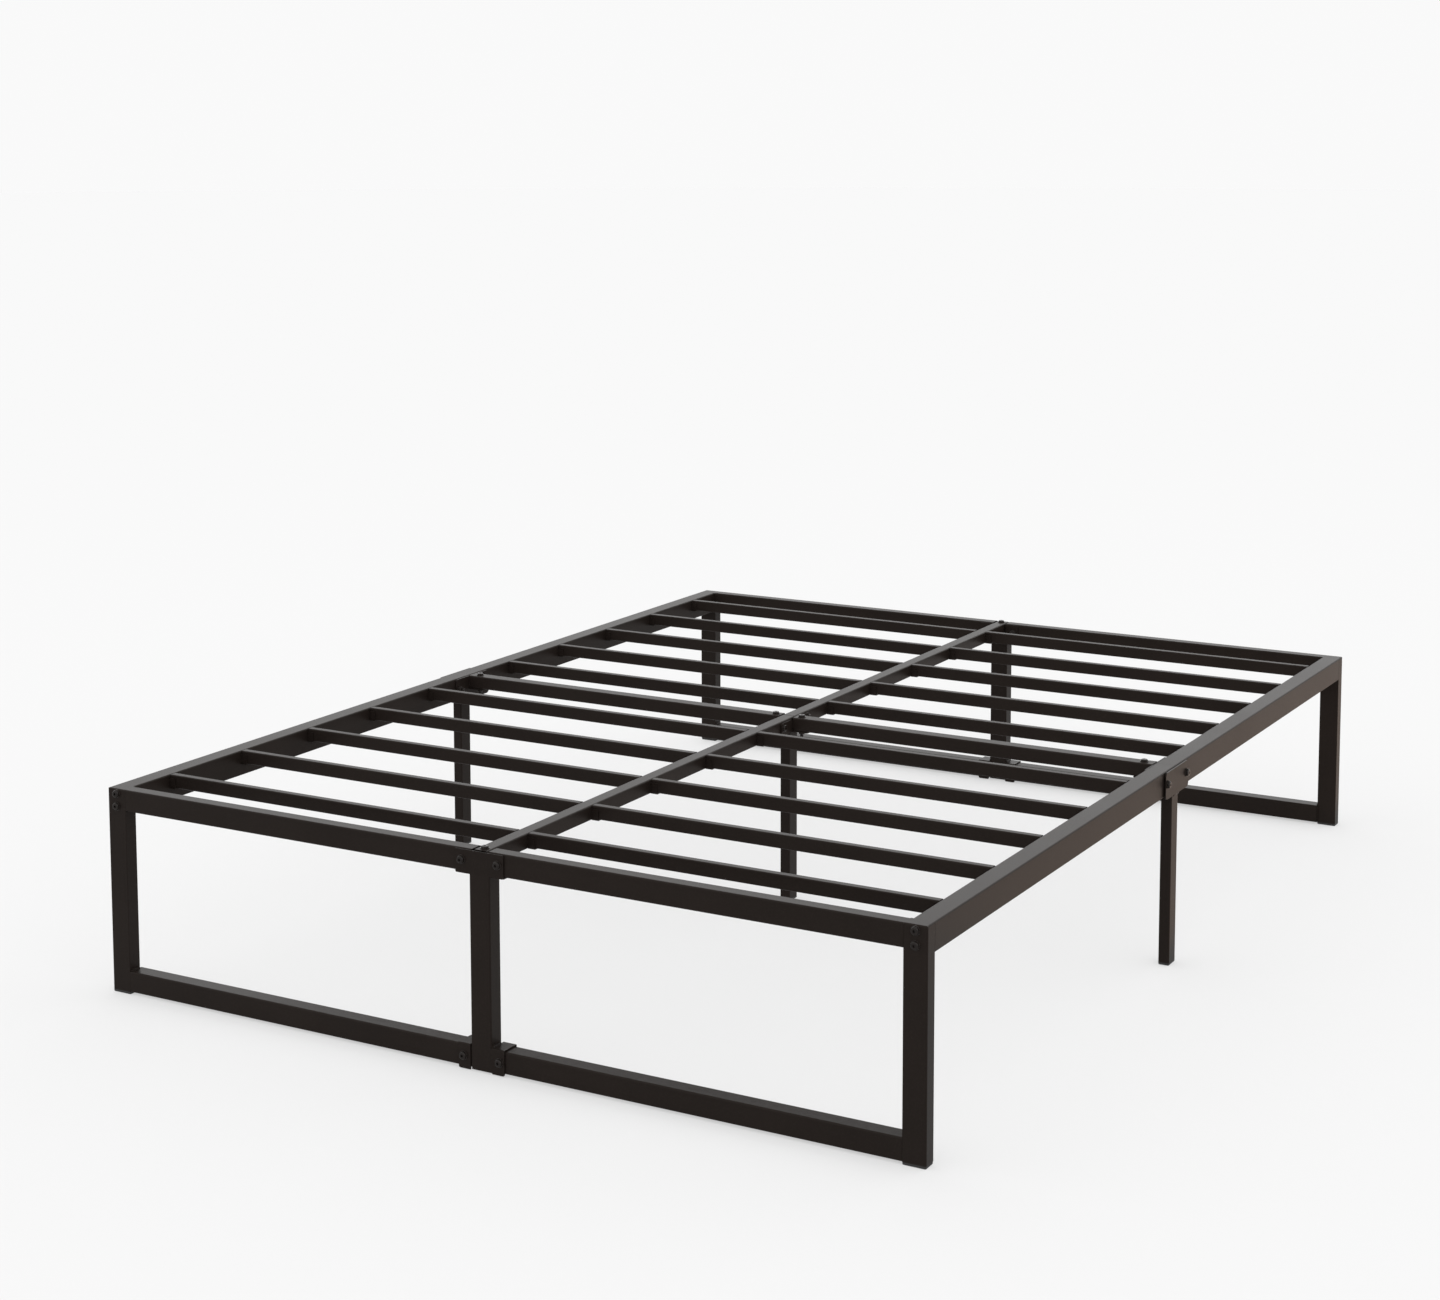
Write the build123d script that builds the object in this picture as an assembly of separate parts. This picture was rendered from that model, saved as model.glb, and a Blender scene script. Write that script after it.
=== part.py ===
from build123d import *
import os

# Platform bed frame for a queen mattress: two welded-tube end frames, split side and
# centre rails, cross slats and seven legs, all bolted together.
# Millimetres. X is the width, Y the length (foot end at -Y), Z up from the floor.
# The origin is on the floor under the middle of the frame.

# ---- driving dimensions -------------------------------------------------------------
frame_width = 1524.0
frame_length = 2032.0
deck_height = 355.6

wall = 1.2  # tube wall
edge_radius = 2.5  # outside corner of the large tubes
least_bore_radius = 0.6
sheet = 2.5  # pressed steel brackets at the middle joints
thin_sheet = 2.0  # pressed steel brackets of the end frames
fit_gap = 0.5  # clearance where a tube sits in a bracket or against a rail
past = 5.0  # how far a cutting tool runs past the face it starts from

leg_width, leg_depth = 38.0, 25.0  # corner leg tube, X by Y
end_rail_depth, end_rail_height = 25.0, 37.0
base_rail_depth, base_rail_height = 30.0, 36.0
base_rail_lift = 4.4  # underside of the base rail above the floor
end_post_width, end_post_depth = 38.0, 29.0  # post in the middle of each end
end_post_lift = 3.0
leg_cap = 2.0  # closed top of a corner leg
seam_radius = 0.8  # corner of a leg where a rail butts against it

side_rail_width, side_rail_height = 35.0, 45.0
centre_rail_width, centre_rail_height = 25.0, 25.0
mid_leg_width, mid_leg_depth = 20.0, 32.0
cross_bar_width, cross_bar_height = 27.0, 25.0

slat_width, slat_height = 14.0, 23.0
slat_wall = 1.0
slat_radius = 2.0
slats_per_half = 5
slat_pitch = 188.2
first_slat = 140.8  # from the middle of the frame to the nearest slat's centre line

channel_length = 90.0  # bracket that holds the two end rails
channel_top = 354.0
channel_corner = 2.5  # lower corners of its plates
shelf_front_inset = 6.0  # its shelf starts this far behind the end rails' front faces
sleeve_length = 24.0  # bracket that clasps the end of a base rail
sleeve_relief = 1.8  # open slot between the post and one sleeve
sleeve_bottom = 1.5
sleeve_corner = 3.0  # lower corners of its plates
sleeve_bend = 1.6  # outside radius of its two bends
tee_length, tee_top, tee_bottom = 114.0, 354.4, 307.0  # bracket at the side joint
tee_corner = 8.0
tee_stand_off = 1.5  # air between the rail and the bracket's outer plate
cradle_length, cradle_width = 114.0, 92.0  # bracket at the centre joint
cradle_bar_radius, cradle_rail_radius = 5.0, 1.0  # corners of its two arms
cheek_drop = 3.0  # its cheeks end this far below the deck
cheek_corner = 5.0
end_plate_thickness, end_plate_radius = 4.0, 1.5  # threaded plate in a side rail's end

foot_flange = 4.4
foot_round = 1.8
plug_height, plug_wall, plug_floor = 14.0, 2.0, 1.0
plug_gap = 0.2  # between the plug and the tube's bore
plug_radius, plug_bore_radius = 1.0, 0.8

bolt_radius = 4.0
bolt_hole_radius = 4.5
head_radius, head_height = 6.5, 3.9
washer_radius, washer_thickness = 7.5, 1.2
washer_gap = 0.2  # between a washer's hole and its shank
nut_flats, nut_height = 12.0, 6.5
small_bolt_radius, small_hole_radius = 3.0, 3.3
small_head_radius, small_head_height = 6.2, 3.2
small_washer_radius = small_head_radius + 1.2
small_nut_flats, small_nut_height = 10.0, 5.0
leg_bolt_length, channel_bolt_length = 42.0, 42.0
sleeve_bolt_length, tee_bolt_length = 47.0, 56.0

# ---- places worked out from the driving dimensions ----------------------------------
half_width = frame_width / 2
half_length = frame_length / 2
leg_inner_x = half_width - leg_width
leg_back_y = half_length - leg_depth
leg_bolt_x = half_width - leg_width / 2
leg_bolt_heights = (deck_height - 8.6, deck_height - 30.1)

end_rail_mid_y = half_length - end_rail_depth / 2
end_rail_mid_z = deck_height - end_rail_height / 2
end_rail_gap = 16.0  # each end rail stops this far from the middle plane
end_plate_inner = half_length + fit_gap  # inner face of the brackets' front plates
end_plate_outer = end_plate_inner + thin_sheet
base_rail_mid_y = half_length - base_rail_depth / 2
base_rail_mid_z = base_rail_lift + base_rail_height / 2
base_rail_top = base_rail_lift + base_rail_height

channel_bottom = deck_height - end_rail_height - fit_gap - thin_sheet
channel_back = leg_back_y - fit_gap  # inner face of the channel's back wall
end_post_mid_y = end_plate_outer - end_post_depth / 2
end_bolt_x = 33.7
end_bolt_z = 337.5

side_rail_mid_x = half_width - side_rail_width / 2
side_rail_inner_x = half_width - side_rail_width
side_rail_mid_z = deck_height - side_rail_height / 2
side_rail_bottom = deck_height - side_rail_height
side_joint_gap = 0.15
tee_bolt_y = 47.5

centre_rail_bottom = deck_height - centre_rail_height
centre_rail_end_y = half_length - 2.0  # the rail lies in the gap between the end rails
centre_joint_gap = 0.6
centre_bolt_y = half_length - 14.0
centre_bolt_end = 8.0  # thread and nut beyond the grip
shelf_top = centre_rail_bottom

mid_leg_top = side_rail_bottom - sheet
mid_leg_mid_x = half_width - mid_leg_width / 2
centre_leg_top = centre_rail_bottom - sheet
cradle_bolt_y = 49.0
cradle_bolt_end = 9.0

bar_inner_x = centre_rail_width / 2 + sheet + fit_gap
bar_outer_x = side_rail_inner_x - sheet - fit_gap
bar_mid_z = deck_height - cross_bar_height / 2
bar_bolts_x = (27.5, 705.0)
bar_bolt_end = 13.0
shelf_reach = 34.0  # of the bar shelf, in from the side bracket

slat_mid_z = deck_height - slat_height / 2
slat_inner_x = centre_rail_width / 2 + fit_gap
slat_outer_x = side_rail_inner_x - fit_gap
saddle_length, saddle_sheet, saddle_height = 13.0, 2.0, 17.0
saddle_corner = 2.5

SIDES = {"left": -1, "right": 1}
ENDS = {"foot": -1, "head": 1}

parts = {}


# ---- building blocks ----------------------------------------------------------------
def hollow(across, tall, thickness, radius):
    """Cross-section of a rectangular tube with rounded corners."""
    outside = RectangleRounded(across, tall, radius)
    bore_radius = max(radius - thickness, least_bore_radius)
    bore = RectangleRounded(across - 2 * thickness, tall - 2 * thickness, bore_radius)
    return outside - bore


def tube_x(x0, x1, y, z, depth, height, thickness=wall, radius=edge_radius):
    """Tube along X from x0 to x1, open at both ends."""
    return Pos(x0, y, z) * extrude(Plane.YZ * hollow(depth, height, thickness, radius), x1 - x0)


def tube_y(y0, y1, x, z, width, height, thickness=wall, radius=edge_radius):
    """Tube along Y from y0 to y1, open at both ends."""
    section = Plane.XZ * hollow(width, height, thickness, radius)
    return Pos(x, y1, z) * extrude(section, y1 - y0)


def tube_z(z0, z1, x, y, width, depth, thickness=wall, radius=edge_radius):
    """Tube along Z from z0 to z1, open at both ends."""
    return Pos(x, y, z0) * extrude(hollow(width, depth, thickness, radius), z1 - z0)


def block(x0, x1, y0, y1, z0, z1):
    """Solid box between two corners."""
    size = (abs(x1 - x0), abs(y1 - y0), abs(z1 - z0))
    return Pos((x0 + x1) / 2, (y0 + y1) / 2, (z0 + z1) / 2) * Box(*size)


def rod_x(x0, x1, y, z, radius):
    """Round bar along X."""
    return Pos((x0 + x1) / 2, y, z) * Rot(0, 90, 0) * Cylinder(radius, abs(x1 - x0))


def rod_y(y0, y1, x, z, radius):
    """Round bar along Y."""
    return Pos(x, (y0 + y1) / 2, z) * Rot(90, 0, 0) * Cylinder(radius, abs(y1 - y0))


def rod_z(z0, z1, x, y, radius):
    """Round bar along Z."""
    return Pos(x, y, (z0 + z1) / 2) * Cylinder(radius, z1 - z0)


def turn_end(shape):
    """The same piece at the head end: half a turn about the upright axis."""
    return Rot(0, 0, 180) * shape


def button_bolt(length, radius, head_r, head_h):
    """Button-head bolt standing on the plane z = 0, shank down, hex socket in its head."""
    dome, socket_floor, socket_corner = 0.62 * head_h, 0.45 * head_h, 0.36 * head_r
    head = Pos(0, 0, head_h / 2) * Cylinder(head_r, head_h)
    head = fillet(head.edges().group_by(Axis.Z)[-1], dome)
    socket = Pos(0, 0, socket_floor) * extrude(RegularPolygon(socket_corner, 6), head_h)
    shank = Pos(0, 0, -length / 2) * Cylinder(radius, length)
    shank = chamfer(shank.edges().group_by(Axis.Z)[0], 0.2 * radius)
    return head - socket + shank


def washer(outer, hole):
    """Flat washer on the plane z = 0."""
    ring = Circle(outer) - Circle(hole)
    return extrude(ring, washer_thickness)


def hex_nut(flats, height, hole):
    """Hexagon nut standing on the plane z = 0."""
    corner_radius = flats / 3**0.5
    round_radius, bevel = 0.97 * corner_radius, 0.1 * corner_radius
    body = extrude(RegularPolygon(corner_radius, 6), height)
    turned = Pos(0, 0, height / 2) * Cylinder(round_radius, height)
    turned = chamfer(turned.edges(), bevel)
    return (body & turned) - Cylinder(hole, 3 * height)


def facing(x, y, z, direction):
    """Place a piece modelled up +Z so that it points along direction."""
    return Plane(origin=(x, y, z), z_dir=direction)


# ---- corner legs --------------------------------------------------------------------
def corner_leg(side):
    """Corner leg at the foot end: tube closed at the top, with two bolt holes."""
    x = side * leg_bolt_x
    y = -end_rail_mid_y
    height = deck_height - foot_flange
    full = Pos(0, 0, height / 2) * Box(leg_width, leg_depth, height)

    def from_corner(edge):
        """Grows with an upright edge's distance from the leg's outer front corner."""
        return edge.center().Y - side * edge.center().X

    upright = full.edges().filter_by(Axis.Z)
    plan = fillet(upright.sort_by(from_corner)[0], edge_radius)
    other_upright = plan.edges().filter_by(Axis.Z).filter_by(lambda e: from_corner(e) > -leg_depth)
    plan = fillet(other_upright, seam_radius)
    front_top = full.edges().filter_by(Axis.X).sort_by(lambda e: e.center().Y - e.center().Z)[0]
    flank_top = full.edges().filter_by(Axis.Y).sort_by(lambda e: side * e.center().X + e.center().Z)[-1]
    rounded = plan & fillet(front_top, edge_radius) & fillet(flank_top, edge_radius)
    bore = RectangleRounded(leg_width - 2 * wall, leg_depth - 2 * wall, edge_radius - wall)
    leg = rounded - extrude(bore, height - leg_cap)
    leg = Pos(x, y, foot_flange) * leg
    for z in leg_bolt_heights:
        leg -= rod_y(-half_length - past, -leg_back_y + past, x, z, bolt_hole_radius)
    return leg


def add_corner_legs():
    for side_name, side in SIDES.items():
        parts[f"corner_leg_foot_{side_name}"] = corner_leg(side)
        parts[f"corner_leg_head_{side_name}"] = turn_end(corner_leg(-side))


# ---- end frames ---------------------------------------------------------------------
def end_top_rail(side):
    """Half of the foot end's top rail, from the corner leg to the middle channel."""
    y, z = -end_rail_mid_y, end_rail_mid_z
    near, far = sorted((side * leg_inner_x, side * end_rail_gap))
    rail = tube_x(near, far, y, z, end_rail_depth, end_rail_height)
    front, back = -half_length - past, -leg_back_y + past
    return rail - rod_y(front, back, side * end_bolt_x, end_bolt_z, bolt_hole_radius)


def end_base_rail(side):
    """Half of the foot end's base rail, from the corner leg to the post."""
    y, z = -base_rail_mid_y, base_rail_mid_z
    post_face = end_post_width / 2 + fit_gap
    near, far = sorted((side * leg_inner_x, side * post_face))
    rail = tube_x(near, far, y, z, base_rail_depth, base_rail_height)
    front, back = -half_length - past, -half_length + base_rail_depth + past
    return rail - rod_y(front, back, side * end_bolt_x, z, bolt_hole_radius)


def corner_plate(half_x, y0, y1, z0, z1):
    """Upright plate facing along Y, with its two lower corners rounded."""
    plate = block(-half_x, half_x, y0, y1, z0, z1)
    return fillet(plate.edges().filter_by(Axis.Y).group_by(Axis.Z)[0], channel_corner)


def end_channel():
    """U channel on the post: it clasps both end rails and carries the centre rail."""
    half = channel_length / 2
    front, back = -end_plate_inner, -channel_back
    floor_top = channel_bottom + thin_sheet
    bend = thin_sheet / 4  # the floor runs this far into each plate
    channel = block(-half, half, front - bend, back + bend, channel_bottom, floor_top)
    channel += corner_plate(half, front - thin_sheet, front, channel_bottom, channel_top)
    channel += corner_plate(half, back, back + thin_sheet, channel_bottom, channel_top)
    between = end_rail_gap - fit_gap
    notch_end, shelf_start = back + thin_sheet + past, -half_length + shelf_front_inset
    channel -= block(-between, between, back - past, notch_end, shelf_top, channel_top + past)
    channel += block(
        -between, between, shelf_start, back + thin_sheet, shelf_top - thin_sheet, shelf_top
    )
    channel -= rod_z(shelf_top - past, shelf_top + past, 0, -centre_bolt_y, small_hole_radius)
    for x in (-end_bolt_x, end_bolt_x):
        channel -= rod_y(front - past, back + past, x, end_bolt_z, bolt_hole_radius)
    return channel


def end_post():
    """Post in the middle of the foot end, welded under the channel."""
    return tube_z(end_post_lift, channel_bottom, 0, -end_post_mid_y, end_post_width, end_post_depth)


def base_sleeve(side):
    """Inverted U that clasps the end of one base rail beside the post."""
    front, back = -end_plate_inner, -half_length + base_rail_depth + fit_gap
    start = end_post_width / 2
    near, far = sorted((side * start, side * (start + sleeve_length)))
    underside = base_rail_top + fit_gap
    top = underside + thin_sheet
    sleeve = block(near, far, front - thin_sheet, back + thin_sheet, underside, top)
    plates = block(near, far, front - thin_sheet, front, sleeve_bottom, top)
    plates += block(near, far, back, back + thin_sheet, sleeve_bottom, top)
    lower = plates.edges().filter_by(Axis.Y).group_by(Axis.Z)[0]
    sleeve += fillet(lower, sleeve_corner)
    if side < 0:
        relief, post_side = -start - sleeve_relief, -start + past
        bottom_z, top_z = sleeve_bottom - past, top + past
        inside = thin_sheet  # the relief also runs this far in under the top
        sleeve -= block(relief, post_side, front - past, front + inside, bottom_z, top_z)
        sleeve -= block(relief, post_side, back - inside, back + past, bottom_z, top_z)
    bends = sleeve.edges().filter_by(Axis.X).filter_by(lambda e: abs(e.center().Z - top) < fit_gap)
    outer_bends = bends.filter_by(lambda e: e.length > sleeve_length / 2)
    sleeve = fillet(outer_bends, sleeve_bend)
    bolt_x = side * end_bolt_x
    return sleeve - rod_y(front - past, back + past, bolt_x, base_rail_mid_z, bolt_hole_radius)


def add_end_frames():
    for side_name, side in SIDES.items():
        parts[f"end_rail_foot_{side_name}"] = end_top_rail(side)
        parts[f"end_rail_head_{side_name}"] = turn_end(end_top_rail(-side))
        parts[f"base_rail_foot_{side_name}"] = end_base_rail(side)
        parts[f"base_rail_head_{side_name}"] = turn_end(end_base_rail(-side))
        parts[f"base_sleeve_foot_{side_name}"] = base_sleeve(side)
        parts[f"base_sleeve_head_{side_name}"] = turn_end(base_sleeve(-side))
    parts["end_post_foot"] = end_post()
    parts["end_post_head"] = turn_end(end_post())
    parts["end_channel_foot"] = end_channel()
    parts["end_channel_head"] = turn_end(end_channel())


# ---- side rails and their middle legs -----------------------------------------------
def side_rail(side):
    """Foot half of one side rail, with its joint bolt hole through both walls."""
    x, z = side * side_rail_mid_x, side_rail_mid_z
    rail = tube_y(-leg_back_y, -side_joint_gap, x, z, side_rail_width, side_rail_height)
    near, far = side * (side_rail_inner_x - past), side * (half_width + past)
    return rail - rod_x(near, far, -tee_bolt_y, side_rail_mid_z, bolt_hole_radius)


def rail_end_plate(side):
    """Threaded plate welded inside the foot end of a side rail."""
    across, tall = side_rail_width - 2 * wall, side_rail_height - 2 * wall
    outline = RectangleRounded(across, tall, end_plate_radius)
    front, back = -leg_back_y, -leg_back_y + end_plate_thickness
    plate = extrude(Plane.XZ * outline, end_plate_thickness)
    plate = Pos(side * side_rail_mid_x, back, side_rail_mid_z) * plate
    for z in leg_bolt_heights:
        plate -= rod_y(front - past, back + past, side * leg_bolt_x, z, bolt_radius)
    return plate


def tee_outline():
    """Face of the side joint bracket: a rectangle with its four corners rounded."""
    return RectangleRounded(tee_length, tee_top - tee_bottom, tee_corner)


def tee_bracket(side):
    """U bracket on a side leg: it holds both halves of the side rail and the cross bar."""
    mid_z = (tee_top + tee_bottom) / 2
    outer_face = half_width + tee_stand_off
    outer = Pos(outer_face, 0, mid_z) * extrude(Plane.YZ * tee_outline(), sheet)
    inner_face = side_rail_inner_x - fit_gap - sheet
    inner = Pos(inner_face, 0, mid_z) * extrude(Plane.YZ * tee_outline(), sheet)
    floor_half = tee_length / 2 - tee_corner
    floor = block(inner_face, outer_face + sheet, -floor_half, floor_half, mid_leg_top, side_rail_bottom)
    shelf_z, bar_half = centre_rail_bottom, cross_bar_width / 2
    shelf_end = inner_face - shelf_reach
    shelf = block(shelf_end, inner_face, -bar_half, bar_half, shelf_z - sheet, shelf_z)
    bracket = outer + inner + floor + shelf
    bracket -= rod_z(shelf_z - past, shelf_z + past, bar_bolts_x[1], 0, small_hole_radius)
    near, far = inner_face - past, outer_face + sheet + past
    for y in (-tee_bolt_y, tee_bolt_y):
        bracket -= rod_x(near, far, y, side_rail_mid_z, bolt_hole_radius)
    return bracket if side > 0 else mirror(bracket, Plane.YZ)


def add_side_rails():
    for side_name, side in SIDES.items():
        parts[f"side_rail_foot_{side_name}"] = side_rail(side)
        parts[f"side_rail_head_{side_name}"] = turn_end(side_rail(-side))
        parts[f"side_leg_{side_name}"] = tube_z(
            foot_flange, mid_leg_top, side * mid_leg_mid_x, 0, mid_leg_width, mid_leg_depth
        )
        parts[f"side_bracket_{side_name}"] = tee_bracket(side)
    plates = [rail_end_plate(side) for side in SIDES.values()]
    parts["rail_end_plates"] = Compound(children=plates + [turn_end(p) for p in plates])


# ---- centre rail and centre leg -----------------------------------------------------
def centre_rail():
    """Foot half of the centre rail, from the end channel to the middle joint."""
    mid_z = deck_height - centre_rail_height / 2
    start, end = -centre_rail_end_y, -centre_joint_gap
    rail = tube_y(start, end, 0, mid_z, centre_rail_width, centre_rail_height)
    bottom, top = centre_rail_bottom - past, deck_height + past
    rail -= rod_z(bottom, top, 0, -centre_bolt_y, small_hole_radius)
    reach = centre_rail_width / 2 + past
    return rail - rod_x(-reach, reach, -cradle_bolt_y, mid_z, small_hole_radius)


def centre_cradle():
    """Cross-shaped plate on the centre leg, with four upright cheeks beside the centre rail."""
    inner = centre_rail_width / 2 + fit_gap
    outer = inner + sheet
    bar_half = cross_bar_width / 2
    plate_bottom = centre_rail_bottom - sheet
    cross = RectangleRounded(2 * outer, cradle_length, cradle_rail_radius)
    cross += RectangleRounded(cradle_width, cross_bar_width, cradle_bar_radius)
    cradle = Pos(0, 0, plate_bottom) * extrude(cross, sheet)
    cheek_top = deck_height - cheek_drop
    for side in SIDES.values():
        for end in ENDS.values():
            y0, y1 = end * (bar_half + fit_gap), end * cradle_length / 2
            cheek = block(side * inner, side * outer, y0, y1, plate_bottom, cheek_top)
            top = cheek.edges().filter_by(Axis.X).group_by(Axis.Z)[-1]
            cradle += fillet(top, cheek_corner)
        hole_x, hole_z = side * bar_bolts_x[0], centre_rail_bottom
        cradle -= rod_z(hole_z - past, hole_z + past, hole_x, 0, small_hole_radius)
    mid_z = deck_height - centre_rail_height / 2
    for y in (-cradle_bolt_y, cradle_bolt_y):
        cradle -= rod_x(-outer - past, outer + past, y, mid_z, small_hole_radius)
    return cradle


def add_centre_line():
    parts["centre_rail_foot"] = centre_rail()
    parts["centre_rail_head"] = turn_end(centre_rail())
    parts["centre_cradle"] = centre_cradle()
    parts["centre_leg"] = tube_z(foot_flange, centre_leg_top, 0, 0, mid_leg_width, mid_leg_depth)


# ---- cross bars and slats -----------------------------------------------------------
def cross_bar(side):
    """Bar between the centre joint and a side joint, with an upright bolt hole near each end."""
    near, far = sorted((side * bar_inner_x, side * bar_outer_x))
    bar = tube_x(near, far, 0, bar_mid_z, cross_bar_width, cross_bar_height)
    for x in bar_bolts_x:
        bar -= rod_z(centre_rail_bottom - past, deck_height + past, side * x, 0, small_hole_radius)
    return bar


def slat_places():
    """Centre lines of the slats, from the foot end to the head end."""
    half = [first_slat + slat_pitch * i for i in range(slats_per_half)]
    return [-y for y in reversed(half)] + half


def slat_saddle(side, x, direction, y):
    """U of sheet steel welded to a rail: the slat's end drops into it."""
    near, far = sorted((side * x, side * (x + direction * saddle_length)))
    half = slat_width / 2
    bottom = deck_height - slat_height
    reach = half + saddle_sheet
    outer = block(near, far, y - reach, y + reach, bottom - saddle_sheet, bottom + saddle_height)
    low = outer.edges().filter_by(Axis.X).group_by(Axis.Z)[0]
    outer = fillet(low, saddle_corner)
    slot_top = bottom + saddle_height + past
    return outer - block(near - past, far + past, y - half, y + half, bottom, slot_top)


def add_deck():
    saddles = []
    for side_name, side in SIDES.items():
        parts[f"cross_bar_{side_name}"] = cross_bar(side)
        for number, y in enumerate(slat_places(), start=1):
            near, far = sorted((side * slat_inner_x, side * slat_outer_x))
            slat = tube_x(near, far, y, slat_mid_z, slat_width, slat_height, slat_wall, slat_radius)
            parts[f"slat_{side_name}_{number:02d}"] = slat
            saddles.append(slat_saddle(side, centre_rail_width / 2, 1, y))
            saddles.append(slat_saddle(side, side_rail_inner_x, -1, y))
    parts["slat_saddles"] = Compound(children=saddles)


# ---- feet ---------------------------------------------------------------------------
def foot(width, depth, x, y):
    """Plastic glide: a flange under the tube and a plug up its bore."""
    base = extrude(RectangleRounded(width, depth, edge_radius), foot_flange)
    base = fillet(base.edges().group_by(Axis.Z)[0], foot_round)
    around = 2 * (wall + plug_gap)
    outline = RectangleRounded(width - around, depth - around, plug_radius)
    plug = Pos(0, 0, foot_flange) * extrude(outline, plug_height)
    around += 2 * plug_wall
    bore = RectangleRounded(width - around, depth - around, plug_bore_radius)
    plug -= Pos(0, 0, foot_flange + plug_floor) * extrude(bore, plug_height)
    return Pos(x, y, 0) * (base + plug)


def add_feet():
    corners = []
    for side in SIDES.values():
        for end in ENDS.values():
            corners.append(foot(leg_width, leg_depth, side * leg_bolt_x, end * end_rail_mid_y))
    parts["corner_feet"] = Compound(children=corners)
    middles = [foot(mid_leg_width, mid_leg_depth, 0, 0)]
    for side in SIDES.values():
        middles.append(foot(mid_leg_width, mid_leg_depth, side * mid_leg_mid_x, 0))
    parts["middle_feet"] = Compound(children=middles)


# ---- fasteners ----------------------------------------------------------------------
def add_fasteners():
    bolts, nuts = [], []
    large_washer = washer(washer_radius, bolt_radius + washer_gap)
    small_washer = washer(small_washer_radius, small_bolt_radius + washer_gap)
    large_nut = hex_nut(nut_flats, nut_height, bolt_radius)
    small_nut = hex_nut(small_nut_flats, small_nut_height, small_bolt_radius)

    def fasten(place, grip, bolt_length, large):
        """Bolt and washer on a face, and a nut at the far side of the grip."""
        seat = Pos(0, 0, washer_thickness)
        if large:
            bolt = button_bolt(bolt_length, bolt_radius, head_radius, head_height)
            nut, height = large_nut, nut_height
        else:
            bolt = button_bolt(bolt_length, small_bolt_radius, small_head_radius, small_head_height)
            nut, height = small_nut, small_nut_height
        bolts.append(place * seat * bolt)
        nuts.append(place * (large_washer if large else small_washer))
        nuts.append(place * Pos(0, 0, -grip - height) * nut)

    for x in (-leg_bolt_x, leg_bolt_x):
        for z in leg_bolt_heights:
            place = facing(x, -half_length, z, (0, -1, 0))
            fasten(place, leg_depth + end_plate_thickness, leg_bolt_length, True)
    for x in (-end_bolt_x, end_bolt_x):
        place = facing(x, -end_plate_outer, end_bolt_z, (0, -1, 0))
        grip = end_plate_outer - channel_back + thin_sheet
        fasten(place, grip, channel_bolt_length, True)
        place = facing(x, -end_plate_outer, base_rail_mid_z, (0, -1, 0))
        grip = base_rail_depth + 2 * fit_gap + 2 * thin_sheet
        fasten(place, grip, sleeve_bolt_length, True)
    grip = centre_rail_height + thin_sheet
    place = facing(0, -centre_bolt_y, deck_height, (0, 0, 1))
    fasten(place, grip, grip + centre_bolt_end, False)

    foot_bolts = list(bolts)
    foot_nuts = list(nuts)
    bolts.extend(turn_end(b) for b in foot_bolts)
    nuts.extend(turn_end(n) for n in foot_nuts)

    outer_face = half_width + tee_stand_off + sheet
    inner_face = side_rail_inner_x - fit_gap - sheet
    for side in SIDES.values():
        for y in (-tee_bolt_y, tee_bolt_y):
            place = facing(side * outer_face, y, side_rail_mid_z, (side, 0, 0))
            fasten(place, outer_face - inner_face, tee_bolt_length, True)
        grip = cross_bar_height + sheet
        for x in bar_bolts_x:
            place = facing(side * x, 0, deck_height, (0, 0, 1))
            fasten(place, grip, grip + bar_bolt_end, False)
    cheek = centre_rail_width / 2 + fit_gap + sheet
    mid_z = deck_height - centre_rail_height / 2
    for y in (-cradle_bolt_y, cradle_bolt_y):
        place = facing(cheek, y, mid_z, (1, 0, 0))
        fasten(place, 2 * cheek, 2 * cheek + cradle_bolt_end, False)
    parts["joint_bolts"] = Compound(children=bolts)
    parts["nuts_and_washers"] = Compound(children=nuts)


add_corner_legs()
add_end_frames()
add_side_rails()
add_centre_line()
add_deck()
add_feet()
add_fasteners()

os.makedirs("parts", exist_ok=True)
for name, shape in parts.items():
    export_step(shape, f"parts/{name}.step")
print(len(parts), "nodes")
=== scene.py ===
import math
import random

import bpy
from mathutils import Matrix, Vector


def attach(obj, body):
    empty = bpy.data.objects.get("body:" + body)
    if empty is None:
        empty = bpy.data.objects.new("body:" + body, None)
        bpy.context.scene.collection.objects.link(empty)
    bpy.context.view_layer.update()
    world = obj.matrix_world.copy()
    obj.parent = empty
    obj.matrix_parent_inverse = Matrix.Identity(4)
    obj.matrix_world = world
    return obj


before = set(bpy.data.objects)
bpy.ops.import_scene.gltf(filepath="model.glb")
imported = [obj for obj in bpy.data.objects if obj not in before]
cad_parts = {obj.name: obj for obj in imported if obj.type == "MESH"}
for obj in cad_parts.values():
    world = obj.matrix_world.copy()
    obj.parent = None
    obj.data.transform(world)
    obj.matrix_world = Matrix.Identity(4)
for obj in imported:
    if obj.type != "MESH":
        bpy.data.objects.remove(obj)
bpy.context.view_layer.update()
scene = bpy.context.scene
random.seed(4)

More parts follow.
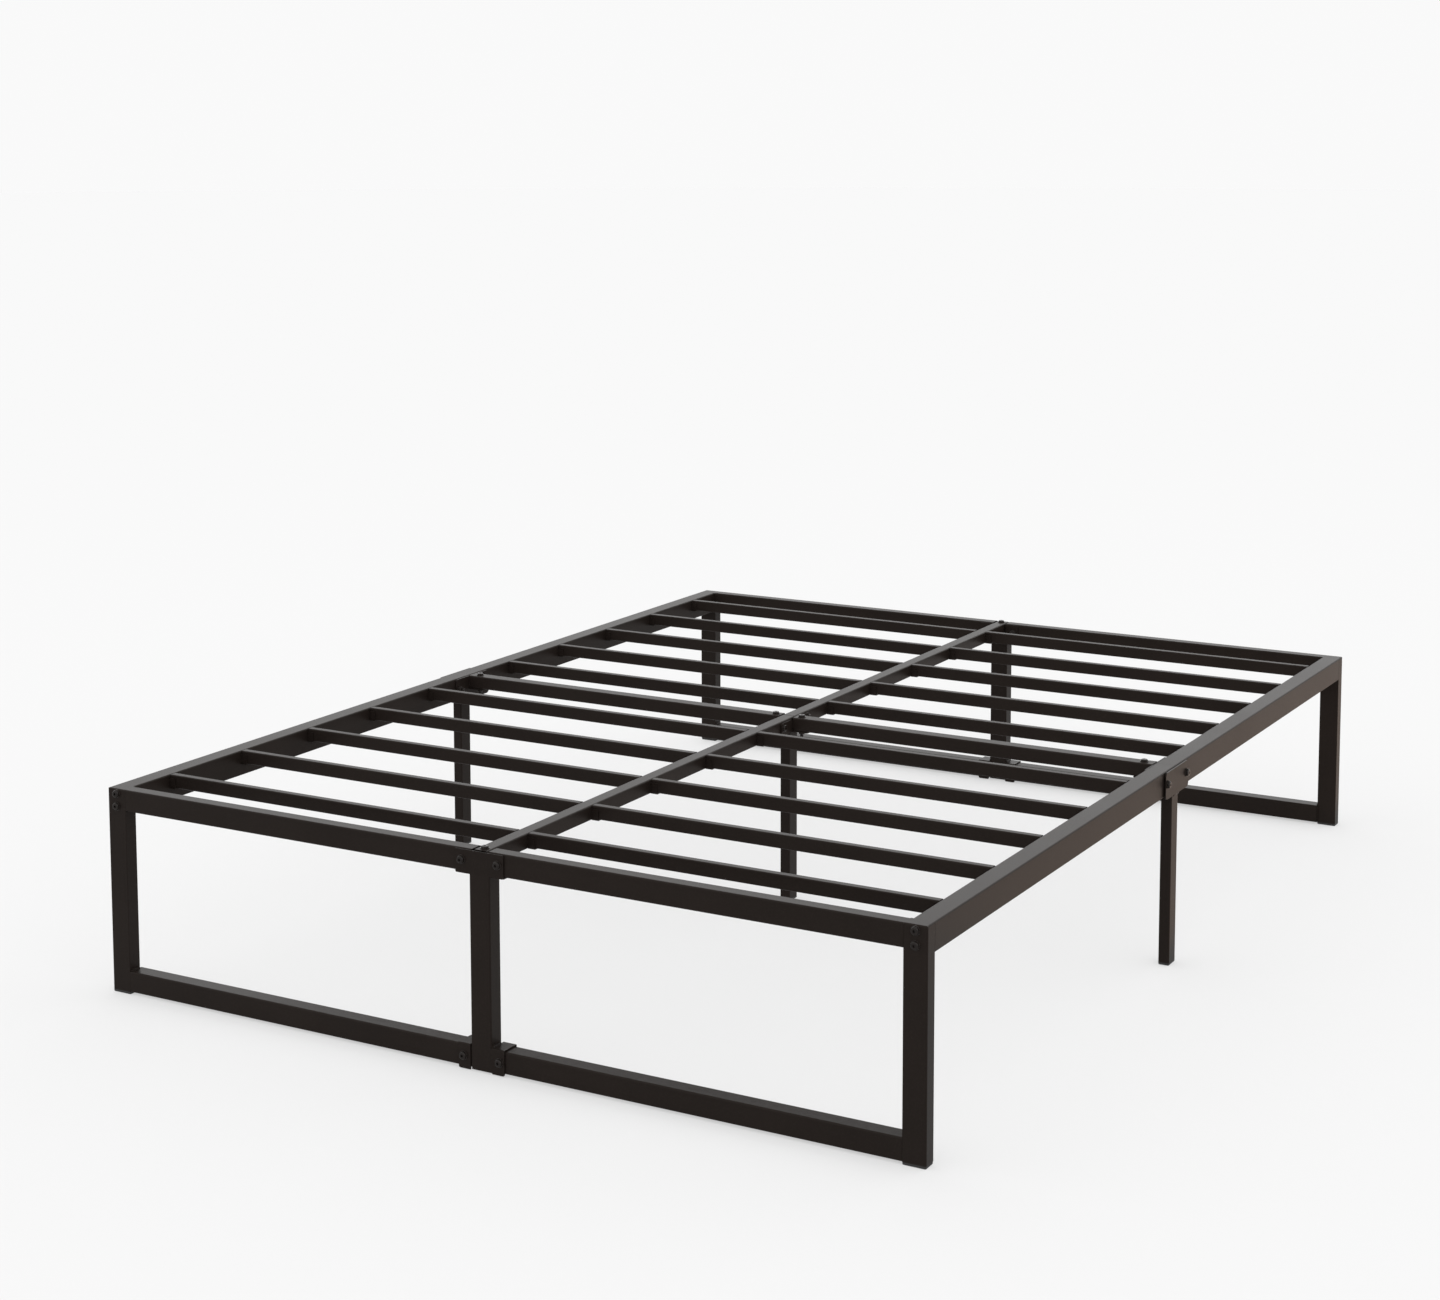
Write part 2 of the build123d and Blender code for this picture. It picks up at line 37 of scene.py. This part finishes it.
# ---- dimensions shared with the CAD, in metres --------------------------------------
HALF_WIDTH = 0.762
HALF_LENGTH = 1.016
DECK = 0.3556
FIT_GAP = 0.0005  # clearance between a tube and its bracket
END_SHEET = 0.0020  # brackets of the end frames
MID_SHEET = 0.0025  # brackets at the middle joints
LEG_WIDTH, LEG_DEPTH = 0.038, 0.025
END_RAIL_HEIGHT = 0.037
BASE_RAIL_TOP = 0.0404
POST_WIDTH, POST_DEPTH = 0.038, 0.029
SIDE_RAIL_HEIGHT = 0.045
CENTRE_RAIL_HEIGHT = 0.025
MID_LEG_WIDTH, MID_LEG_DEPTH = 0.020, 0.032
TEE_BOTTOM = 0.3070
SIDES = {"left": -1, "right": 1}
ENDS = {"foot": -1, "head": 1}
UP, DOWN = (0, 0, 1), (0, 0, -1)

END_BRACKET = FIT_GAP + END_SHEET  # from a tube's face to its bracket's outer face
POST_FRONT = HALF_LENGTH + END_BRACKET

# ---- weld and finish settings -------------------------------------------------------
BEAD_STEP = 0.0011  # between sections along a bead
BEAD_SEGMENTS = 7  # around its crown
BEAD_SINK = 0.25  # how deep a bead lies in the corner, as a share of its size
BEAD_FULLNESS = 0.86  # of the crown's flanks
END_SIZE, END_TAPER = 0.35, 0.012  # a bead starts at this share and grows over about this length
FINE_RIPPLE, FINE_PITCH = 0.035, 0.0030
SLOW_RIPPLE, SLOW_PITCH = 0.04, 0.011
PHASE_SPAN = 6.28
LEAST_SECTIONS = 6

SHEEN_TINT = (1.0, 0.92, 0.87)  # the coat's highlights lean to brown
FLOOR_RADIUS, FLOOR_SIDES = 40.0, 96
FLOOR_DROP = 0.0005

HORIZON_LEVEL = 0.950  # close to the floor's brightness
SKY_LEVEL = 2.4
ZENITH_LEVEL = 1.05
HORIZON_HEIGHT, SKY_HEIGHT = 0.08, 0.27  # sine of the elevation


# ---- node helpers -------------------------------------------------------------------
class Nodes:
    """Short names for building one material's node tree."""

    def __init__(self, material):
        self.tree = material.node_tree
        self.tree.nodes.clear()
        self.output = self.tree.nodes.new("ShaderNodeOutputMaterial")
        self.shader = self.tree.nodes.new("ShaderNodeBsdfPrincipled")
        self.tree.links.new(self.shader.outputs["BSDF"], self.output.inputs["Surface"])
        coordinates = self.tree.nodes.new("ShaderNodeTexCoord")
        self.place = coordinates.outputs["Object"]

    def link(self, source, target):
        self.tree.links.new(source, target)

    def noise(self, scale, detail, roughness, stretch=None):
        """Noise in object space; scale is in cycles per metre."""
        node = self.tree.nodes.new("ShaderNodeTexNoise")
        node.inputs["Scale"].default_value = scale
        node.inputs["Detail"].default_value = detail
        node.inputs["Roughness"].default_value = roughness
        place = self.place
        if stretch:
            mapping = self.tree.nodes.new("ShaderNodeMapping")
            mapping.inputs["Scale"].default_value = stretch
            self.link(place, mapping.inputs["Vector"])
            place = mapping.outputs["Vector"]
        self.link(place, node.inputs["Vector"])
        return node.outputs["Fac"]

    def ramp(self, value, stops):
        """Grey ramp; stops are (position, level)."""
        node = self.tree.nodes.new("ShaderNodeValToRGB")
        set_stops(node.color_ramp, stops)
        self.link(value, node.inputs["Fac"])
        return node.outputs["Color"]

    def remap(self, value, low, high):
        """Map 0..1 to low..high."""
        node = self.tree.nodes.new("ShaderNodeMapRange")
        node.inputs["To Min"].default_value = low
        node.inputs["To Max"].default_value = high
        self.link(value, node.inputs["Value"])
        return node.outputs["Result"]

    def math(self, operation, a, b):
        node = self.tree.nodes.new("ShaderNodeMath")
        node.operation = operation
        for socket, value in zip(node.inputs, (a, b)):
            if isinstance(value, (int, float)):
                socket.default_value = value
            else:
                self.link(value, socket)
        return node.outputs["Value"]

    def mix(self, factor, a, b):
        """Mix two colours."""
        node = self.tree.nodes.new("ShaderNodeMix")
        node.data_type = "RGBA"
        for name, value in (("Factor_Float", factor), ("A_Color", a), ("B_Color", b)):
            socket = next(s for s in node.inputs if s.identifier == name)
            if isinstance(value, tuple):
                socket.default_value = (*value, 1.0)
            else:
                self.link(value, socket)
        return next(s for s in node.outputs if s.identifier == "Result_Color")

    def edges(self, low, high):
        """1 on convex edges, 0 elsewhere."""
        geometry = self.tree.nodes.new("ShaderNodeNewGeometry")
        return self.ramp(geometry.outputs["Pointiness"], [(low, 0.0), (high, 1.0)])

    def bump(self, height, distance, strength, normal=None):
        node = self.tree.nodes.new("ShaderNodeBump")
        node.inputs["Strength"].default_value = strength
        node.inputs["Distance"].default_value = distance
        self.link(height, node.inputs["Height"])
        if normal is not None:
            self.link(normal, node.inputs["Normal"])
        return node.outputs["Normal"]

    def set(self, name, value):
        socket = self.shader.inputs[name]
        if isinstance(value, (int, float)):
            socket.default_value = value
        elif isinstance(value, tuple):
            socket.default_value = (*value, 1.0)
        else:
            self.link(value, socket)


def set_stops(colour_ramp, stops):
    """Fill a colour ramp from a list of (position, grey level)."""
    elements = colour_ramp.elements
    while len(elements) < len(stops):
        elements.new(0.5)
    for element, (position, level) in zip(elements, stops):
        element.position = position
        element.color = (level, level, level, 1.0)


def new_material(name):
    material = bpy.data.materials.new(name)
    material.use_nodes = True
    return material, Nodes(material)


def brighter(colour, factor):
    return tuple(channel * factor for channel in colour)


# ---- materials ----------------------------------------------------------------------
def powder_coat(name, base, light, rough):
    """Fine-texture powder coat: grains under a millimetre over a faint orange peel."""
    material, n = new_material(name)
    grain = n.noise(scale=1500.0, detail=3.0, roughness=0.6)
    speckle = n.noise(scale=520.0, detail=2.0, roughness=0.5)
    peel = n.noise(scale=260.0, detail=2.0, roughness=0.55)
    cloud = n.noise(scale=7.0, detail=3.0, roughness=0.55)
    tone = n.mix(n.ramp(cloud, [(0.35, 0.0), (0.65, 1.0)]), base, brighter(base, 1.28))
    tone = n.mix(n.ramp(speckle, [(0.50, 0.0), (0.80, 0.45)]), tone, light)
    # Convex edges lean toward the lighter colour: partly a painted highlight along the edges, partly the
    # thinner coat there.
    tone = n.mix(n.math("MULTIPLY", n.edges(low=0.53, high=0.62), 0.22), tone, light)
    n.set("Base Color", tone)
    speckle_wear = n.remap(speckle, low=rough - 0.05, high=rough + 0.07)
    cloud_wear = n.remap(cloud, low=-0.03, high=0.03)
    n.set("Roughness", n.math("ADD", speckle_wear, cloud_wear))
    n.set("IOR", 1.16)
    n.set("Specular Tint", SHEEN_TINT)
    fine = n.bump(grain, distance=0.00010, strength=0.55)
    n.set("Normal", n.bump(peel, distance=0.00018, strength=0.45, normal=fine))
    return material


def bolt_finish(name, base, rough):
    """Blackened steel, a little lighter on the rims as a painted highlight."""
    material, n = new_material(name)
    grain = n.noise(scale=2600.0, detail=2.0, roughness=0.5)
    patch = n.noise(scale=240.0, detail=3.0, roughness=0.6)
    tone = n.mix(n.ramp(patch, [(0.4, 0.0), (0.7, 1.0)]), base, brighter(base, 1.7))
    # Painted highlight: the convex rims are mixed toward a lighter grey.
    rim = n.math("MULTIPLY", n.edges(low=0.54, high=0.66), 0.3)
    n.set("Base Color", n.mix(rim, tone, (0.050, 0.044, 0.040)))
    n.set("Metallic", 0.0)
    n.set("IOR", 1.25)
    n.set("Roughness", n.remap(patch, low=rough - 0.07, high=rough + 0.1))
    n.set("Normal", n.bump(grain, distance=0.00005, strength=0.4))
    return material


def moulded_plastic(name, base):
    """Matte moulded plastic with a fine spark-eroded texture."""
    material, n = new_material(name)
    grain = n.noise(scale=1100.0, detail=3.0, roughness=0.65)
    scuff = n.noise(scale=60.0, detail=4.0, roughness=0.6, stretch=(1.0, 1.0, 3.0))
    tone = n.mix(n.ramp(scuff, [(0.5, 0.0), (0.8, 0.6)]), base, brighter(base, 2.2))
    n.set("Base Color", tone)
    n.set("Roughness", n.remap(grain, low=0.55, high=0.75))
    n.set("IOR", 1.46)
    n.set("Normal", n.bump(grain, distance=0.00012, strength=0.5))
    return material


def floor_finish(name):
    """Plain pale ground that gives off part of its own light, so its shadows stay faint."""
    material, n = new_material(name)
    n.set("Base Color", (0.278, 0.278, 0.278))
    n.set("Emission Color", (1.0, 1.0, 1.0))
    n.set("Emission Strength", 0.50)
    n.set("Roughness", 0.95)
    n.set("Specular IOR Level", 0.0)
    return material


# The light colour tints the speckles and, partly as a painted highlight, the convex edges.
PAINT = powder_coat(
    "powder_coat_black", base=(0.0070, 0.0050, 0.0041), light=(0.0185, 0.0145, 0.0125), rough=0.36
)
BOLT = bolt_finish("bolt_black_oxide", base=(0.0072, 0.0054, 0.0046), rough=0.22)
NUT = bolt_finish("nut_dark_zinc", base=(0.0090, 0.0070, 0.0061), rough=0.25)
PLASTIC = moulded_plastic("glide_plastic", base=(0.0075, 0.0072, 0.0070))
FINISH = {"joint_bolts": BOLT, "nuts_and_washers": NUT, "corner_feet": PLASTIC, "middle_feet": PLASTIC}

for node_name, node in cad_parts.items():
    node.data.materials.clear()
    node.data.materials.append(FINISH.get(node_name, PAINT))


# ---- mesh helpers -------------------------------------------------------------------
def add_object(name, verts, faces):
    mesh = bpy.data.meshes.new(name)
    mesh.from_pydata([tuple(v) for v in verts], [], faces)
    obj = bpy.data.objects.new(name, mesh)
    scene.collection.objects.link(obj)
    return obj


def tube_faces(ring, count):
    """Side faces between count + 1 closed rings, each with ring points."""
    faces = []
    for i in range(count):
        for k in range(ring):
            a, b = i * ring + k, i * ring + (k + 1) % ring
            faces.append((a, b, b + ring, a + ring))
    return faces


def bead(start, end, side_a, side_b, size):
    """Weld bead along the straight corner between two faces, from start to end.

    side_a and side_b point from the corner along the two faces. The bead is a closed strip
    with a crowned section whose size ripples as a hand-laid bead does."""
    start, end = Vector(start), Vector(end)
    side_a, side_b = Vector(side_a), Vector(side_b)
    length = (end - start).length
    count = max(LEAST_SECTIONS, int(length / BEAD_STEP))
    phase = random.random() * PHASE_SPAN
    verts = []
    for i in range(count + 1):
        t = i / count
        centre = start.lerp(end, t)
        taper = min(1.0, END_SIZE + 4.0 * min(t, 1 - t) * length / END_TAPER)
        ripple = 1.0 + FINE_RIPPLE * math.sin(t * length / FINE_PITCH * 2 * math.pi + phase)
        ripple += SLOW_RIPPLE * math.sin(t * length / SLOW_PITCH * 2 * math.pi + 2.1 * phase)
        radius = size * taper * ripple
        sink = -BEAD_SINK * radius
        verts.append(centre + side_a * sink + side_b * sink)
        for k in range(BEAD_SEGMENTS + 1):
            a = k / BEAD_SEGMENTS * math.pi / 2
            crown = BEAD_FULLNESS + (1 - BEAD_FULLNESS) * math.sin(2 * a)
            bulge = crown if 0 < k < BEAD_SEGMENTS else 1.0
            verts.append(centre + (side_a * math.cos(a) + side_b * math.sin(a)) * radius * bulge)
    ring = BEAD_SEGMENTS + 2
    faces = tube_faces(ring, count)
    faces.append(tuple(range(ring))[::-1])
    faces.append(tuple(count * ring + k for k in range(ring)))
    obj = add_object("bead", verts, faces)
    obj.data.validate()
    return obj


def join_as(pieces, name, material):
    """Join pieces into one object of the frame, with outward normals."""
    for other in bpy.context.selected_objects:
        other.select_set(False)
    for piece in pieces:
        piece.select_set(True)
    bpy.context.view_layer.objects.active = pieces[0]
    bpy.ops.object.join()
    joined = bpy.context.view_layer.objects.active
    bpy.ops.object.mode_set(mode="EDIT")
    bpy.ops.mesh.select_all(action="SELECT")
    bpy.ops.mesh.normals_make_consistent(inside=False)
    bpy.ops.object.mode_set(mode="OBJECT")
    bpy.ops.object.shade_smooth_by_angle(angle=math.radians(40))
    joined.select_set(False)
    joined.name = name
    joined.data.name = name
    joined.data.materials.clear()
    joined.data.materials.append(material)
    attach(joined, "root")


# ---- weld beads ---------------------------------------------------------------------
def corner_welds():
    """Base rail and top rail to each corner leg, and the base rail's end behind the leg."""
    front_inset, back_reach = 0.0025, 0.001
    low, top_inset = 0.0070, 0.002
    base_size, rail_size = 0.0028, 0.0026
    x_leg = HALF_WIDTH - LEG_WIDTH
    back_y = HALF_LENGTH - LEG_DEPTH
    rail_bottom = DECK - END_RAIL_HEIGHT
    high = BASE_RAIL_TOP - top_inset
    beads = []
    for side in SIDES.values():
        for end in ENDS.values():
            x, y = side * x_leg, end * back_y
            away, inward = (-side, 0, 0), (0, -end, 0)
            front, back = end * (HALF_LENGTH - front_inset), end * (back_y + back_reach)
            base = (x, front, BASE_RAIL_TOP), (x, back, BASE_RAIL_TOP)
            beads.append(bead(*base, away, UP, base_size))
            rail = (x, front, rail_bottom), (x, back, rail_bottom)
            beads.append(bead(*rail, away, DOWN, rail_size))
            upright = (x, y, low), (x, y, high)
            beads.append(bead(*upright, (side, 0, 0), inward, rail_size))
    return beads


def post_welds():
    """Channel and sleeves to each side of the end posts."""
    channel_inset, sleeve_inset, back_reach = 0.003, 0.002, 0.002
    channel_size, sleeve_size = 0.0030, 0.0028
    channel_bottom = DECK - END_RAIL_HEIGHT - END_BRACKET
    sleeve_top = BASE_RAIL_TOP + END_BRACKET
    back_y = POST_FRONT - POST_DEPTH
    beads = []
    for end in ENDS.values():
        back = end * (back_y + back_reach)
        for side in SIDES.values():
            x, away = side * POST_WIDTH / 2, (side, 0, 0)
            front = end * (POST_FRONT - channel_inset)
            channel = (x, front, channel_bottom), (x, back, channel_bottom)
            beads.append(bead(*channel, away, DOWN, channel_size))
            front = end * (POST_FRONT - sleeve_inset)
            sleeve = (x, front, sleeve_top), (x, back, sleeve_top)
            beads.append(bead(*sleeve, away, UP, sleeve_size))
    return beads


def leg_welds():
    """Brackets to the side legs and to the centre leg."""
    wide_size, narrow_size, plate_size = 0.0030, 0.0028, 0.0038
    inset = 0.002  # short of the leg's rounded corners
    half_depth = MID_LEG_DEPTH / 2
    reach = half_depth - inset
    top = DECK - SIDE_RAIL_HEIGHT - MID_SHEET
    x_in = HALF_WIDTH - MID_LEG_WIDTH
    beads = []
    for side in SIDES.values():
        near, far = side * (x_in + inset), side * (HALF_WIDTH - inset)
        for end in ENDS.values():
            y = end * half_depth
            beads.append(bead((near, y, top), (far, y, top), (0, end, 0), DOWN, wide_size))
        inner, outer = side * x_in, side * HALF_WIDTH
        beads.append(bead((inner, -reach, top), (inner, reach, top), (-side, 0, 0), DOWN, narrow_size))
        plate = (outer, -reach, TEE_BOTTOM), (outer, reach, TEE_BOTTOM)
        beads.append(bead(*plate, (side, 0, 0), DOWN, plate_size))
    top = DECK - CENTRE_RAIL_HEIGHT - MID_SHEET
    half_width = MID_LEG_WIDTH / 2
    across = half_width - inset
    for side in SIDES.values():
        x = side * half_width
        beads.append(bead((x, -reach, top), (x, reach, top), (side, 0, 0), DOWN, narrow_size))
    for end in ENDS.values():
        y = end * half_depth
        beads.append(bead((-across, y, top), (across, y, top), (0, end, 0), DOWN, narrow_size))
    return beads


def ground_strip(side, end):
    """Weld ground flush between the post's front corner and the sleeve's front plate."""
    count = 28
    low, high = 0.0045, BASE_RAIL_TOP + END_SHEET
    inner_x = side * (POST_WIDTH / 2 - 0.0030)
    outer_x = side * (POST_WIDTH / 2 + 0.0005)
    root_x = inner_x + side * 0.0008
    front = end * POST_FRONT
    inner_y = front - end * 0.0001
    depth = front - end * END_SHEET
    verts = []
    for i in range(count + 1):
        z = low + (high - low) * i / count
        dip = 0.00012 * (1 + math.sin(i * 1.9 + side))
        verts += [(inner_x, inner_y, z), (outer_x, front - end * dip, z)]
        verts += [(outer_x, depth, z), (root_x, depth, z)]
    faces = tube_faces(4, count)
    faces += [(3, 2, 1, 0), tuple(4 * count + k for k in range(4))]
    return add_object("strip", verts, faces)


join_as(corner_welds(), "corner_weld_beads", PAINT)
join_as(post_welds(), "post_weld_beads", PAINT)
join_as([ground_strip(1, -1), ground_strip(-1, 1)], "post_ground_strips", PAINT)
join_as(leg_welds(), "leg_weld_beads", PAINT)


# ---- floor --------------------------------------------------------------------------
def make_floor():
    """Wide pale disc on the ground plane."""
    turns = [2 * math.pi * i / FLOOR_SIDES for i in range(FLOOR_SIDES)]
    rim = [(FLOOR_RADIUS * math.cos(a), FLOOR_RADIUS * math.sin(a), 0.0) for a in turns]
    floor = add_object("studio_floor", rim, [tuple(range(FLOOR_SIDES))])
    floor.data.materials.append(floor_finish("studio_floor"))
    floor.location.z = -FLOOR_DROP


make_floor()


# ---- light --------------------------------------------------------------------------
def make_world():
    """Soft white surround: about as bright as the floor at the horizon, brighter above it."""
    world = bpy.data.worlds.new("studio")
    scene.world = world
    world.use_nodes = True
    tree = world.node_tree
    background = tree.nodes["Background"]
    place = tree.nodes.new("ShaderNodeTexCoord")
    split = tree.nodes.new("ShaderNodeSeparateXYZ")
    ramp = tree.nodes.new("ShaderNodeValToRGB")
    horizon = [(0.0, HORIZON_LEVEL), (HORIZON_HEIGHT, HORIZON_LEVEL)]
    set_stops(ramp.color_ramp, horizon + [(SKY_HEIGHT, SKY_LEVEL), (1.0, ZENITH_LEVEL)])
    tree.links.new(place.outputs["Generated"], split.inputs["Vector"])
    tree.links.new(split.outputs["Z"], ramp.inputs["Fac"])
    tree.links.new(ramp.outputs["Color"], background.inputs["Color"])
    background.inputs["Strength"].default_value = 1.0


def area_light(name, place, target, size, power, colour=(1.0, 1.0, 1.0)):
    data = bpy.data.lights.new(name, "AREA")
    data.shape = "RECTANGLE"
    data.size, data.size_y = size
    data.energy = power
    data.color = colour
    light = bpy.data.objects.new(name, data)
    light.location = place
    light.rotation_euler = (Vector(target) - Vector(place)).to_track_quat("-Z", "Y").to_euler()
    scene.collection.objects.link(light)
    return light


make_world()
area_light("overhead", place=(0.4, 0.6, 4.2), target=(0, 0, 0), size=(5.0, 5.0), power=8.0)
warm = area_light(
    "warm_bounce", place=(1.25, 1.45, 0.004), target=(1.25, 1.45, 1.0), size=(0.9, 3.1), power=3.6,
    colour=(1.0, 0.38, 0.0)
)
warm.visible_camera = False


# ---- camera -------------------------------------------------------------------------
CAMERA_PLACE = (2.2543, -4.2337, 1.5087)
CAMERA_YAW, CAMERA_PITCH, CAMERA_ROLL = 0.5161, -0.1117, -0.0018  # radians
CAMERA_LENS, CAMERA_SENSOR = 64.93, 36.0
CAMERA_SHIFT_Y = -0.18


def make_camera():
    """Three-quarter view over the foot end's right corner, tilted down a little."""
    flat = math.cos(CAMERA_PITCH)
    forward = Vector((-math.sin(CAMERA_YAW) * flat, math.cos(CAMERA_YAW) * flat, math.sin(CAMERA_PITCH)))
    level = Vector((math.cos(CAMERA_YAW), math.sin(CAMERA_YAW), 0.0))
    upward = level.cross(forward)
    right = level * math.cos(CAMERA_ROLL) + upward * math.sin(CAMERA_ROLL)
    up = upward * math.cos(CAMERA_ROLL) - level * math.sin(CAMERA_ROLL)
    data = bpy.data.cameras.new("camera")
    data.sensor_width = CAMERA_SENSOR
    data.lens = CAMERA_LENS
    data.shift_y = CAMERA_SHIFT_Y
    data.clip_start, data.clip_end = 0.1, 200.0
    camera = bpy.data.objects.new("camera", data)
    turn = Matrix((right, up, -forward)).transposed().to_4x4()
    camera.matrix_world = Matrix.Translation(CAMERA_PLACE) @ turn
    scene.collection.objects.link(camera)
    scene.camera = camera


make_camera()
scene.view_settings.view_transform = "Standard"
